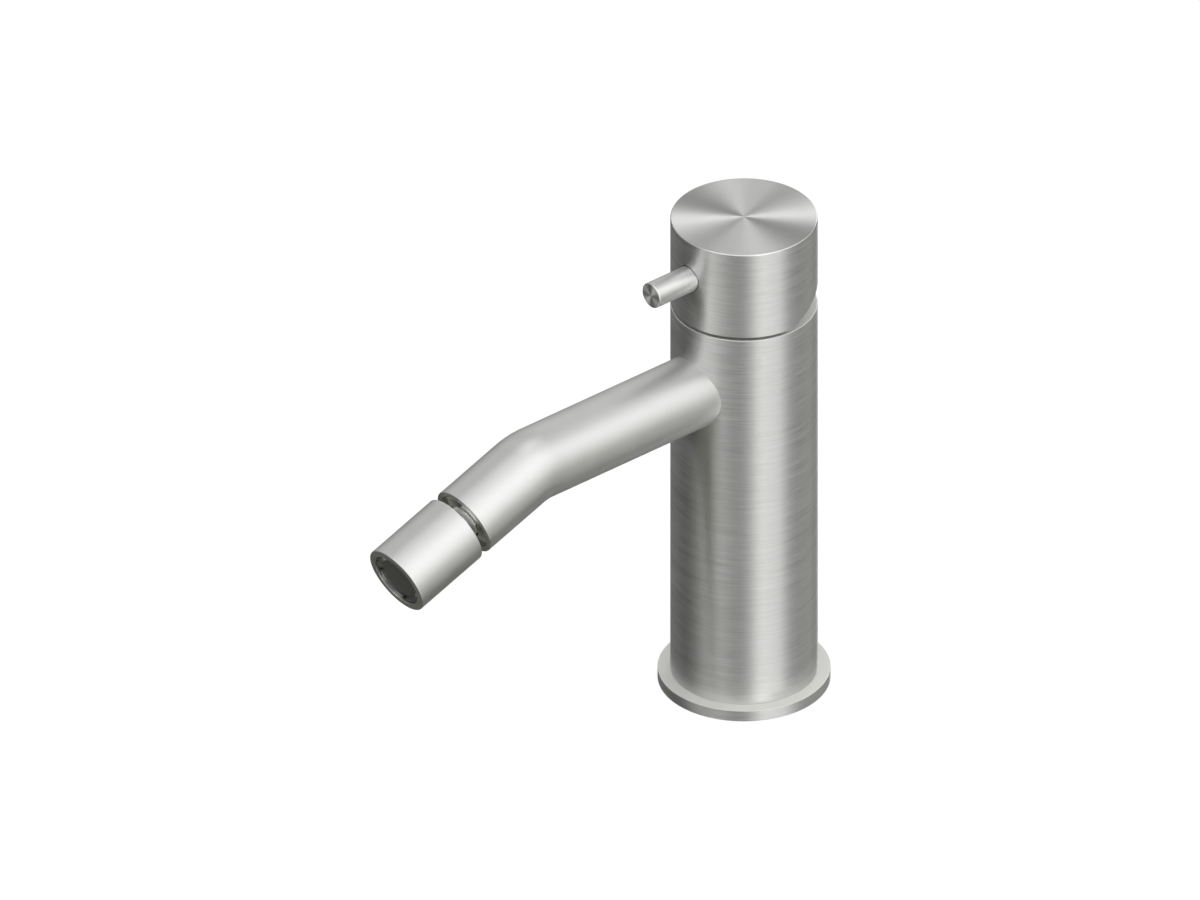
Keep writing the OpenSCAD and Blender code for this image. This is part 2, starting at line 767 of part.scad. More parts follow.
module handle_cap() {
    color("silver") difference() {
        drum(body_r, cap_z, cap_top, cap_bevel);
        bore(body_r - cap_wall, cap_z - past, hollow_top);
        bore(spindle_r + thread_gap, cap_z, spindle_top + slide_gap);
        front_rod(pin_thread_r + thread_gap, pin_z, 0, body_r + past);
        front_rod(pin_r + pin_gap, pin_z, pin_seat_y, body_r + past);
        translate([-2 * body_r, 0, cap_z])
            rotate([cap_cut_angle, 0, 0])
            translate([0, 0, -2 * body_r])
            cube([4 * body_r, 4 * body_r, 2 * body_r]);
    }
}

module pin_lever() {
    color("silver") {
        front_rod(pin_r, pin_z, pin_seat_y, pin_reach, pin_bevel);
        front_rod(pin_thread_r, pin_z, pin_thread_end, pin_seat_y + past);
    }
}

module grub_screw() {
    color("gray") difference() {
        front_rod(pin_thread_r, pin_z, grub_tip_y, grub_tip_y + grub_h);
        translate([0, 0, pin_z]) rotate([90, 0, 0])
            translate([0, 0, grub_tip_y + grub_h / 2])
            cylinder(r = pin_thread_r / 2, h = grub_h, $fn = 6);
    }
}

base_flange();
base_gasket();
body_sleeve();
valve_block();
block_seals();
spout_tube();
spout_end();
swivel_seal();
ball_retainer();
cartridge_base();
inlet_seals();
disc_seals();
fixed_disc();
cartridge_housing();
cartridge_seal();
cartridge_nut();
spindle_guide();
pivot_pin();
moving_disc();
disc_carrier();
spindle();
handle_cap();
pin_lever();
grub_screw();
ball_seat_ring();
swivel_ball();
nozzle_shell();
stud_seal();
aerator_washer();
aerator_housing();
aerator_core();
aerator_screens();
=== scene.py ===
"""Bidet mixer in brushed and satin stainless steel: finish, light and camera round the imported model."""
import json
import math

import bmesh
import bpy
from mathutils import Matrix, Vector


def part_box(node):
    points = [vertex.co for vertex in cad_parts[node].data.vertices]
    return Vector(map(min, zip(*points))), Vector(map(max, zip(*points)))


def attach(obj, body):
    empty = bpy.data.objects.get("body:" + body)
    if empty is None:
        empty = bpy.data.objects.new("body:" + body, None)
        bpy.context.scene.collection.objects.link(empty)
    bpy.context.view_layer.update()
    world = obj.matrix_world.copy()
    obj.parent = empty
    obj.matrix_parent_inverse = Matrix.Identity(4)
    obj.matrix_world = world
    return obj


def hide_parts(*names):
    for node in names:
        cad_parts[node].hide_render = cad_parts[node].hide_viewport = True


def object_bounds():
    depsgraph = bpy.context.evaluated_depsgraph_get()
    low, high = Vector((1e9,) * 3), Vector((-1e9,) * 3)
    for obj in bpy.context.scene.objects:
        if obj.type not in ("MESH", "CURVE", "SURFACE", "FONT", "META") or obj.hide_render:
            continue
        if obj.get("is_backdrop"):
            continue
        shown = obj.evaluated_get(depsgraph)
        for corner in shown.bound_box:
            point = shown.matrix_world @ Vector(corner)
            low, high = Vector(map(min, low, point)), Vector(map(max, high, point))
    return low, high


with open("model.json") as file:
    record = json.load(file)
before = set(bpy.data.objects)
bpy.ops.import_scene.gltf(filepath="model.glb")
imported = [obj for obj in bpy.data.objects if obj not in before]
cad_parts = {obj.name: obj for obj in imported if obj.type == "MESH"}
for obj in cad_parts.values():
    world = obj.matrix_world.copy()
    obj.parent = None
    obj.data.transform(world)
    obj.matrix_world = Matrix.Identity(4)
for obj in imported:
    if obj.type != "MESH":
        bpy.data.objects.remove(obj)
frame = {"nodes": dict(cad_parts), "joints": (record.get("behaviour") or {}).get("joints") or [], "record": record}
cad_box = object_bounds()

MM = 0.001

# Sizes and places that the frame gives
JOINTS = {joint["name"]: joint for joint in frame["joints"]}
FLANGE_LOW, FLANGE_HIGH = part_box("base_flange")
SLEEVE_LOW, SLEEVE_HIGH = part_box("body_sleeve")
CAP_LOW, CAP_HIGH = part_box("handle_cap")
PIN_LOW, PIN_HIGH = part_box("pin_lever")
TUBE_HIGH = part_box("spout_tube")[1]
BODY_R = SLEEVE_HIGH.x
FLANGE_R = FLANGE_HIGH.x
SPOUT_R = TUBE_HIGH.x
PIN_R = PIN_HIGH.x
SPOUT_Z = TUBE_HIGH.z - SPOUT_R
PIN_Z = (PIN_LOW.z + PIN_HIGH.z) / 2
BALL = Vector(JOINTS["nozzle_spin"]["pos_m"])
SPOUT_AXIS = Vector(JOINTS["nozzle_spin"]["axis"]).normalized()
BEND_ANGLE = math.asin(-SPOUT_AXIS.z)
BEND_POINT = BALL + SPOUT_AXIS * ((SPOUT_Z - BALL.z) / SPOUT_AXIS.z)

# Clearances, as in the solids: of threads and fitted pieces, round the gasket and round the pin's root
FIT_GAP = 0.05 * MM
GASKET_GAP = 0.03 * MM
PIN_GAP = 0.25 * MM

# Sizes of the base, the sleeve and the cap, as in the solids
FOOT_R = 20 * MM
FOOT_H = 1.5 * MM
BLOCK_R = 18.85 * MM
GASKET_R = 24.2 * MM
GASKET_W = 2.4 * MM
GASKET_H = 1.6 * MM
SLEEVE_BORE_R = 19 * MM
RECESS_R = 18 * MM
RECESS_H = 1.5 * MM
LIP_R = 16.2 * MM
LIP_H = 2 * MM
CAP_WALL = 4 * MM
CAP_HOLLOW_H = 10 * MM
CAP_CUT = math.radians(23)
SPINDLE_BORE_R = 3.65 * MM
SPINDLE_BORE_H = 22.2 * MM
PIN_SEAT = 1.6 * MM

# Sizes of the spout and its ball joint
BEND_R = 20 * MM
SPOUT_WALL = 1.6 * MM
ROOT_DEPTH = 0.3 * MM
END_H = 3 * MM
SOCKET_R = 9.6 * MM
RETAINER_R = SOCKET_R - FIT_GAP
RETAINER_H = 5.6 * MM
BALL_R = 7.5 * MM
SEAT_R = BALL_R + FIT_GAP
BALL_DEPTH = 4.7 * MM
BALL_BACK = 6.1 * MM
BALL_BORE_R = 2.5 * MM
NECK_R = 4.2 * MM
COLLAR_R = 5.6 * MM
COLLAR_H = 0.5 * MM
STUD_R = 4.9 * MM

# Sizes of the nozzle and its aerator; a place along the spout's axis is measured from the ball's centre
NOZZLE_GAP = 3.478 * MM
NOZZLE_H = 25 * MM
NOZZLE_BACK_H = 4.5 * MM
NOZZLE_BORE_R = 6.4 * MM
NOZZLE_MOUTH_R = 8.9 * MM
AERATOR_R = NOZZLE_MOUTH_R - FIT_GAP
AERATOR_INSET = 0.7 * MM
AERATOR_H = 11 * MM
AERATOR_INNER_R = 6.85 * MM
WASHER_H = 1.5 * MM
CORE_R = AERATOR_INNER_R - FIT_GAP
CORE_INSET = 0.5 * MM
CORE_H = 6 * MM
GROOVE_W = 0.35 * MM
GROOVE_H = 1.2 * MM
RING_LIP_W = 0.45 * MM
KEY_NOTCHES = 4
KEY_NOTCH_W = 1.8 * MM
KEY_NOTCH_H = 1.25 * MM
NOZZLE_START = BALL_DEPTH + NOZZLE_GAP
NOZZLE_END = NOZZLE_START + NOZZLE_H
AERATOR_END = NOZZLE_END - AERATOR_INSET

# Small roundings on the edges that catch light
SMALL_EDGE = 0.12 * MM
FLANGE_EDGE = 0.15 * MM
SPOUT_EDGE = 0.15 * MM
RIM_EDGE = 0.3 * MM
NOZZLE_EDGE = 0.3 * MM
CAP_EDGE = 0.35 * MM
PIN_EDGE = 0.35 * MM
HOLLOW_EDGE = 0.48 * MM

# How finely round forms are divided
ROUND = 256
PIN_ROUND = 128
EDGE_STEPS = 5
BEND_STEPS = 24
SEAT_STEPS = 20
BALL_STEPS = 48

# A rounding takes at most a share of the stretch beside it. The flat hold that follows it takes at
# most a smaller share, or a short length.
EDGE_SHARE = 0.45
HOLD_SHARE = 0.04
HOLD = 0.04 * MM

# Points closer than the first value are one point, sizes below the second one are none, and an edge
# that turns by more than the angle is sharp
MERGE = 0.001 * MM
TINY = 0.0001 * MM
SHARP_ANGLE = math.radians(30)

# The window in the cap's wall that is meshed round the pin's hole, in cells of the cap's rings, and the
# loops in it: each lies at a share of the way to the hole's edge, which is faintly broken
CELL = 2 * math.pi / ROUND
HOLE_R = PIN_R + PIN_GAP
HOLE_BORDER = 1.5 * MM
HOLE_MARGIN = HOLE_R + HOLE_BORDER
HOLE_LOW = PIN_Z - HOLE_MARGIN
HOLE_HIGH = PIN_Z + HOLE_MARGIN
HOLE_COLUMN = 3 * ROUND // 4
HOLE_CELLS = math.ceil(HOLE_MARGIN / (BODY_R * CELL))
HOLE_SHARES = (0.35, 0.62, 0.82, 0.94, 0.985, 1.0)
HOLE_EDGE = 0.06 * MM

# The cap's tall wall has the window, and the rings close to its foot follow the cut of its underside
TALL_WALL = 5 * MM
CUT_BAND = 1 * MM


def rounded(corners):
    """Rounds a closed outline of (radius, height, rounding) corners and returns (radius, height) points.

    A short straight stretch beside each rounding keeps the shading of the long faces flat.
    """
    points = []
    count = len(corners)
    for i, (x, y, size) in enumerate(corners):
        here = Vector((x, y))
        before = Vector(corners[i - 1][:2]) - here
        after = Vector(corners[(i + 1) % count][:2]) - here
        if size <= 0 or before.length < TINY or after.length < TINY:
            points.append(here)
            continue
        to_before, to_after = before.normalized(), after.normalized()
        half = to_before.angle(to_after) / 2
        reach = min(size / math.tan(half), before.length * EDGE_SHARE, after.length * EDGE_SHARE)
        radius = reach * math.tan(half)
        centre = here + (to_before + to_after).normalized() * (radius / math.sin(half))
        start, end = here + to_before * reach, here + to_after * reach
        hold = min(HOLD, before.length * HOLD_SHARE, after.length * HOLD_SHARE)
        arm_a, arm_b = start - centre, end - centre
        turn = arm_a.angle(arm_b)
        points.append(start + to_before * hold)
        for step in range(EDGE_STEPS + 1):
            share = step / EDGE_STEPS
            a = math.sin((1 - share) * turn) / math.sin(turn)
            b = math.sin(share * turn) / math.sin(turn)
            points.append(centre + arm_a * a + arm_b * b)
        points.append(end + to_after * hold)
    return [(p.x, p.y) for p in points]


def arc(radius, first, last, steps):
    """Corners without rounding along a ball's outline, between two angles above its equator."""
    corners = []
    for step in range(steps + 1):
        turn = first + (last - first) * step / steps
        corners.append((radius * math.cos(turn), radius * math.sin(turn), 0))
    return corners


def finish_mesh(name, verts, faces, matrix=None):
    """Makes an object that faces outwards and is smooth but for its sharp edges."""
    mesh = bpy.data.meshes.new(name)
    mesh.from_pydata(verts, [], faces)
    tidy = bmesh.new()
    tidy.from_mesh(mesh)
    bmesh.ops.remove_doubles(tidy, verts=tidy.verts, dist=MERGE)
    bmesh.ops.dissolve_degenerate(tidy, edges=tidy.edges, dist=MERGE)
    if tidy.calc_volume(signed=True) < 0:
        bmesh.ops.reverse_faces(tidy, faces=tidy.faces)
    tidy.to_mesh(mesh)
    tidy.free()
    mesh.polygons.foreach_set("use_smooth", [True] * len(mesh.polygons))
    mesh.set_sharp_from_angle(angle=SHARP_ANGLE)
    mesh.update()
    piece = bpy.data.objects.new(name, mesh)
    bpy.context.scene.collection.objects.link(piece)
    if matrix is not None:
        piece.matrix_world = matrix
    return piece


def loft(name, rings, close_loop, matrix=None):
    """Joins rings of equally many points into a mesh; a ring of one point is a pole."""
    verts, starts = [], []
    for ring in rings:
        starts.append(len(verts))
        verts.extend(ring)
    faces = []
    pairs = list(zip(range(len(rings) - 1), range(1, len(rings))))
    if close_loop:
        pairs.append((len(rings) - 1, 0))
    for a, b in pairs:
        count = max(len(rings[a]), len(rings[b]))
        for i in range(count):
            j = (i + 1) % count
            corner = [starts[a] + (i if len(rings[a]) > 1 else 0)]
            if len(rings[a]) > 1:
                corner.append(starts[a] + j)
            corner.append(starts[b] + (j if len(rings[b]) > 1 else 0))
            if len(rings[b]) > 1:
                corner.append(starts[b] + i)
            faces.append(corner)
    return finish_mesh(name, verts, faces, matrix)


def lathe(name, corners, matrix=None, close_loop=True, count=ROUND):
    """Turns a closed outline round local Z; an outline that starts and ends on the axis isn't closed."""
    rings = []
    for radius, height in rounded(corners):
        if radius < TINY:
            rings.append([(0, 0, height)])
            continue
        ring = []
        for i in range(count):
            turn = 2 * math.pi * i / count
            ring.append((radius * math.cos(turn), radius * math.sin(turn), height))
        rings.append(ring)
    return loft(name, rings, close_loop, matrix)


def axis_frame(origin, direction):
    """A matrix whose local Z runs along a direction in the spout's plane and whose local X is +X."""
    x = Vector((1, 0, 0))
    z = direction.normalized()
    y = z.cross(x)
    return Matrix.Translation(origin) @ Matrix((x, y, z)).transposed().to_4x4()


def make_flange():
    """The round plate under the body, with the gasket's groove below and the block's foot in its bore."""
    low, high = FLANGE_LOW.z, FLANGE_HIGH.z
    groove_outer = GASKET_R + GASKET_GAP
    groove_inner = GASKET_R - GASKET_W - GASKET_GAP
    groove_top = low + GASKET_H
    return lathe("flange", [
        (FOOT_R, low, 0), (groove_inner, low, 0), (groove_inner, groove_top, 0),
        (groove_outer, groove_top, 0), (groove_outer, low, 0), (FLANGE_R, low, SMALL_EDGE),
        (FLANGE_R, high, FLANGE_EDGE), (BLOCK_R, high, 0), (BLOCK_R, low + FOOT_H, 0),
        (FOOT_R, low + FOOT_H, 0),
    ])


def make_sleeve():
    """The body's column, recessed at the top round the cartridge's nut."""
    low, high = SLEEVE_LOW.z, SLEEVE_HIGH.z
    lip = high - RECESS_H
    return lathe("sleeve", [
        (SLEEVE_BORE_R, low, 0), (BODY_R, low, SMALL_EDGE), (BODY_R, high, RIM_EDGE),
        (RECESS_R, high, SMALL_EDGE), (RECESS_R, lip, 0), (LIP_R, lip, 0),
        (LIP_R, lip - LIP_H, 0), (SLEEVE_BORE_R, lip - LIP_H, 0),
    ])


def spout_ring(radius, centre, along):
    """A circle round the spout's path, square to it."""
    side = Vector((1, 0, 0))
    up = side.cross(along)
    ring = []
    for i in range(ROUND):
        turn = 2 * math.pi * i / ROUND
        ring.append(centre + side * (radius * math.cos(turn)) + up * (radius * math.sin(turn)))
    return ring


def root_ring(radius):
    """The spout's root, where a circle round the level stretch meets the body's round wall."""
    ring = []
    for point in spout_ring(radius, Vector((0, 0, SPOUT_Z)), Vector((0, -1, 0))):
        ring.append(Vector((point.x, -math.sqrt((BODY_R - ROOT_DEPTH) ** 2 - point.x ** 2), point.z)))
    return ring


def bend_rings(radius):
    """Rings along the bend, from the level stretch into the sloping one."""
    tangent = BEND_R * math.tan(BEND_ANGLE / 2)
    centre = BEND_POINT + Vector((0, tangent, -BEND_R))
    rings = []
    for step in range(BEND_STEPS + 1):
        turn = BEND_ANGLE * step / BEND_STEPS
        outward = Vector((0, -math.sin(turn), math.cos(turn)))
        along = Vector((0, -math.cos(turn), -math.sin(turn)))
        rings.append(spout_ring(radius, centre + outward * BEND_R, along))
    return rings


def make_spout():
    """The tube and its turned end in one ground piece, from the outside of the root round to its bore."""
    face = BALL + SPOUT_AXIS * BALL_DEPTH
    bore_r = SPOUT_R - SPOUT_WALL
    end_outline = rounded([
        (SPOUT_R, -END_H, 0), (SPOUT_R, 0, SPOUT_EDGE), (SOCKET_R, 0, SMALL_EDGE),
        (SOCKET_R, -RETAINER_H, 0),
    ])
    rings = [root_ring(SPOUT_R)]
    rings += bend_rings(SPOUT_R)
    for radius, height in end_outline:
        rings.append(spout_ring(radius, face + SPOUT_AXIS * height, SPOUT_AXIS))
    rings += reversed(bend_rings(bore_r))
    rings.append(root_ring(bore_r))
    return loft("spout", rings, True)


def make_retainer():
    """The ring screwed into the spout's end, hollowed round the ball."""
    first = -math.asin((RETAINER_H - BALL_DEPTH) / SEAT_R)
    last = math.asin(BALL_DEPTH / SEAT_R)
    seat = arc(SEAT_R, first, last, SEAT_STEPS)
    seat[-1] = (math.sqrt(SEAT_R ** 2 - BALL_DEPTH ** 2), BALL_DEPTH, SMALL_EDGE)
    outline = seat + [(RETAINER_R, BALL_DEPTH, SMALL_EDGE), (RETAINER_R, BALL_DEPTH - RETAINER_H, 0)]
    return lathe("retainer", outline, axis_frame(BALL, SPOUT_AXIS))


def make_ball():
    """The bored ball with its neck, collar and stud."""
    first = math.asin(-BALL_BACK / BALL_R)
    last = math.acos(NECK_R / BALL_R)
    collar = NOZZLE_START - COLLAR_H
    stud_end = NOZZLE_START + NOZZLE_BACK_H
    outline = [(BALL_BORE_R, -BALL_BACK, 0)]
    outline += arc(BALL_R, first, last, BALL_STEPS)
    outline += [
        (NECK_R, collar, 0), (COLLAR_R, collar, SMALL_EDGE), (COLLAR_R, NOZZLE_START, 0),
        (STUD_R, NOZZLE_START, 0), (STUD_R, stud_end, 0), (BALL_BORE_R, stud_end, 0),
    ]
    return lathe("ball", outline, axis_frame(BALL, SPOUT_AXIS))


def make_nozzle():
    """The nozzle's shell, open at its mouth and bored for the stud at its back."""
    bore = NOZZLE_START + NOZZLE_BACK_H
    shoulder = AERATOR_END - AERATOR_H - WASHER_H
    return lathe("nozzle", [
        (STUD_R, NOZZLE_START, 0), (SPOUT_R, NOZZLE_START, SPOUT_EDGE),
        (SPOUT_R, NOZZLE_END, NOZZLE_EDGE), (NOZZLE_MOUTH_R, NOZZLE_END, SMALL_EDGE),
        (NOZZLE_MOUTH_R, shoulder, 0), (NOZZLE_BORE_R, shoulder, 0), (NOZZLE_BORE_R, bore, 0),
        (STUD_R, bore, 0),
    ], axis_frame(BALL, SPOUT_AXIS))


def make_aerator_ring():
    """The ring in the nozzle's mouth: a lip with key notches round a cone that leads in to the face."""
    back = AERATOR_END - AERATOR_H
    groove = AERATOR_END - GROOVE_H
    lip_r = AERATOR_R - GROOVE_W
    outline = rounded([
        (AERATOR_INNER_R, back, 0), (AERATOR_R, back, 0), (AERATOR_R, groove, 0), (lip_r, groove, 0),
        (lip_r, AERATOR_END, SMALL_EDGE), (lip_r - RING_LIP_W, AERATOR_END, SMALL_EDGE),
        (AERATOR_INNER_R, AERATOR_END - CORE_INSET, 0),
    ])
    half_notch = KEY_NOTCH_W / 2 / AERATOR_R
    pitch = 2 * math.pi / KEY_NOTCHES
    rings = []
    for radius, height in outline:
        ring = []
        for i in range(ROUND):
            turn = 2 * math.pi * i / ROUND
            cut = abs((turn + pitch / 2) % pitch - pitch / 2) < half_notch
            z = min(height, AERATOR_END - KEY_NOTCH_H) if cut else height
            ring.append((radius * math.cos(turn), radius * math.sin(turn), z))
        rings.append(ring)
    return loft("aerator_ring", rings, True, axis_frame(BALL, SPOUT_AXIS))


def make_aerator_face():
    """The aerator's core, whose dark face closes the nozzle's mouth."""
    face = AERATOR_END - CORE_INSET
    return lathe("aerator_face", [
        (0, face - CORE_H, 0), (CORE_R, face - CORE_H, 0), (CORE_R, face, SMALL_EDGE), (0, face, 0),
    ], axis_frame(BALL, SPOUT_AXIS), close_loop=False)


def cap_rings():
    """Rings of the cap's hollow turned form, whose underside rises behind the axis, and their kinds."""
    low, high = CAP_LOW.z, CAP_HIGH.z
    inner = BODY_R - CAP_WALL
    ceiling = low + CAP_HOLLOW_H
    bore_end = low + SPINDLE_BORE_H
    outline = rounded([
        (0, high, 0), (0, bore_end, 0), (SPINDLE_BORE_R, bore_end, 0), (SPINDLE_BORE_R, ceiling, 0),
        (inner, ceiling, HOLLOW_EDGE), (inner, low, SMALL_EDGE), (BODY_R, low, SMALL_EDGE),
        (BODY_R, high, CAP_EDGE),
    ])
    rings, kinds = [], []
    for radius, height in outline:
        if radius < TINY:
            rings.append([Vector((0, 0, height))])
            kinds.append("pole")
            continue
        ring = []
        on_cut = height < low + CUT_BAND
        for i in range(ROUND):
            turn = 2 * math.pi * i / ROUND
            x, y = radius * math.cos(turn), radius * math.sin(turn)
            rise = max(0.0, y) * math.tan(CAP_CUT) if on_cut else 0.0
            ring.append(Vector((x, y, height + rise)))
        rings.append(ring)
        kinds.append("wall" if abs(radius - BODY_R) < TINY else "other")
    return rings, kinds


def make_cap():
    """The cap, with a window of its outer wall meshed round the pin's hole."""
    rings, kinds = cap_rings()
    verts, faces, starts = [], [], []
    for ring in rings:
        starts.append(len(verts))
        verts.extend(ring)
    for a in range(len(rings)):
        b = (a + 1) % len(rings)
        if kinds[a] == "pole" and kinds[b] == "pole":
            continue
        height = abs(rings[a][0].z - rings[b][0].z)
        tall = kinds[a] == "wall" and kinds[b] == "wall" and height > TALL_WALL
        for i in range(ROUND):
            j = (i + 1) % ROUND
            if kinds[a] == "pole":
                faces.append([starts[a], starts[b] + j, starts[b] + i])
            elif kinds[b] == "pole":
                faces.append([starts[a] + i, starts[a] + j, starts[b]])
            elif tall and HOLE_COLUMN - HOLE_CELLS <= i < HOLE_COLUMN + HOLE_CELLS:
                continue
            else:
                faces.append([starts[a] + i, starts[a] + j, starts[b] + j, starts[b] + i])
        if tall:
            add_hole_patch(verts, faces, starts[a], starts[b])
    return finish_mesh("cap", verts, faces)


def wall_point(u, z):
    """A point on the cap's wall, at a length round it from the pin's axis and at a height."""
    turn = 3 * math.pi / 2 + u / BODY_R
    return Vector((BODY_R * math.cos(turn), BODY_R * math.sin(turn), z))


def add_hole_patch(verts, faces, low_start, high_start):
    """Fills the window of the cap's wall with quads that run into a round counterbore for the pin."""
    columns = [HOLE_COLUMN + k for k in range(-HOLE_CELLS, HOLE_CELLS + 1)]
    rows = 2 * HOLE_CELLS

    def add(point):
        verts.append(point)
        return len(verts) - 1

    levels = [HOLE_LOW + (HOLE_HIGH - HOLE_LOW) * k / rows for k in range(rows + 1)]
    left = [add(wall_point(-HOLE_CELLS * CELL * BODY_R, z)) for z in levels]
    right = [add(wall_point(HOLE_CELLS * CELL * BODY_R, z)) for z in levels]
    bottom = [left[0]]
    top = [left[-1]]
    for k in range(1, len(columns) - 1):
        u = (k - HOLE_CELLS) * CELL * BODY_R
        bottom.append(add(wall_point(u, HOLE_LOW)))
        top.append(add(wall_point(u, HOLE_HIGH)))
    bottom.append(right[0])
    top.append(right[-1])
    for k in range(len(columns) - 1):
        i, j = columns[k], columns[k + 1]
        faces.append([low_start + i, low_start + j, bottom[k + 1], bottom[k]])
        faces.append([top[k], top[k + 1], high_start + j, high_start + i])
    side_strip(faces, low_start, high_start, columns[0], left, True)
    side_strip(faces, low_start, high_start, columns[-1], right, False)
    border = bottom[:-1] + right[:-1] + top[:0:-1] + left[:0:-1]
    loops = [border] + hole_loops([verts[index] for index in border], add)
    for outer, inner in zip(loops, loops[1:]):
        for k in range(len(outer)):
            m = (k + 1) % len(outer)
            faces.append([outer[k], outer[m], inner[m], inner[k]])
    floor_middle = add(Vector((0, -(BODY_R - PIN_SEAT), PIN_Z)))
    for k in range(len(border)):
        faces.append([loops[-1][k], loops[-1][(k + 1) % len(border)], floor_middle])


def hole_loops(border, add):
    """Adds the loops from the window's border to the hole's edge and down to the counterbore's floor."""
    flat = []
    for point in border:
        u = math.asin(max(-1, min(1, point.x / BODY_R))) * BODY_R
        flat.append((u, point.z - PIN_Z))
    angles = [math.atan2(v, u) for u, v in flat]
    loops = []
    for share in HOLE_SHARES:
        loop = []
        for angle, (u, v) in zip(angles, flat):
            x = u + (HOLE_R * math.cos(angle) - u) * share
            z = v + (HOLE_R * math.sin(angle) - v) * share
            loop.append(add(wall_point(BODY_R * math.asin(x / BODY_R) if share == 1 else x, z + PIN_Z)))
        loops.append(loop)
    edge, floor = [], []
    for angle in angles:
        x = HOLE_R * math.cos(angle)
        z = PIN_Z + HOLE_R * math.sin(angle)
        edge.append(add(Vector((x, HOLE_EDGE - math.sqrt(BODY_R ** 2 - x ** 2), z))))
        floor.append(add(Vector((x, PIN_SEAT - BODY_R, z))))
    return loops + [edge, floor]


def side_strip(faces, low_start, high_start, column, edge, on_left):
    """Joins the window's side to the column of the wall beside it with one many-sided face."""
    chain = [low_start + column] + edge + [high_start + column]
    neighbour = column - 1 if on_left else column + 1
    outer_low, outer_high = low_start + neighbour, high_start + neighbour
    for face in list(faces):
        if outer_low in face and outer_high in face and low_start + column in face:
            faces.remove(face)
            break
    loop = [outer_low] + chain + [outer_high]
    faces.append(loop if on_left else loop[::-1])


def make_pin():
    """The pin lever, with its local Z pointing out of the cap."""
    root = BODY_R - PIN_SEAT
    end = -PIN_LOW.y
    return lathe("pin", [
        (0, root, 0), (PIN_R, root, 0), (PIN_R, end, PIN_EDGE), (0, end, 0),
    ], axis_frame(Vector((0, 0, PIN_Z)), Vector((0, -1, 0))), close_loop=False, count=PIN_ROUND)


# The middle stretch of a noise, which a finish spreads over its whole swing
NOISE_LOW = 0.3
NOISE_HIGH = 0.7

# A turned finish: how much of its noise is the fine streaks, their length and their pitch against the
# broad ones, how far its roughness swings, its bump, the run of its highlights and the number of rays
# of painted highlight and shade on a small end
TURNED_FINE = 0.94
TURNED_LENGTH_SHARE = 0.35
TURNED_PITCH_SHARE = 0.18
TURNED_ROUGHNESS_SWING = 0.14
TURNED_BUMP = 0.8
ANISOTROPY = 1.0
QUARTER_TURN = 0.25
PAINTED_RAY_COUNT = 4

# A satin finish, likewise, with the size of its fine grain against the broad one
SATIN_FINE = 0.6
SATIN_GRAIN_SHARE = 0.04
SATIN_ROUGHNESS_SWING = 0.08
SATIN_BUMP = 0.15

# The aerator's screen: its brightness on a wire and between wires, how wide a wire's flank is, its
# roughness and its bump
SCREEN_LIGHT = 1.1
SCREEN_DARK = 0.8
SCREEN_FLANK = 0.5
SCREEN_ROUGHNESS = 0.6
SCREEN_BUMP = 0.3
SCREEN_DEPTH = 0.05 * MM


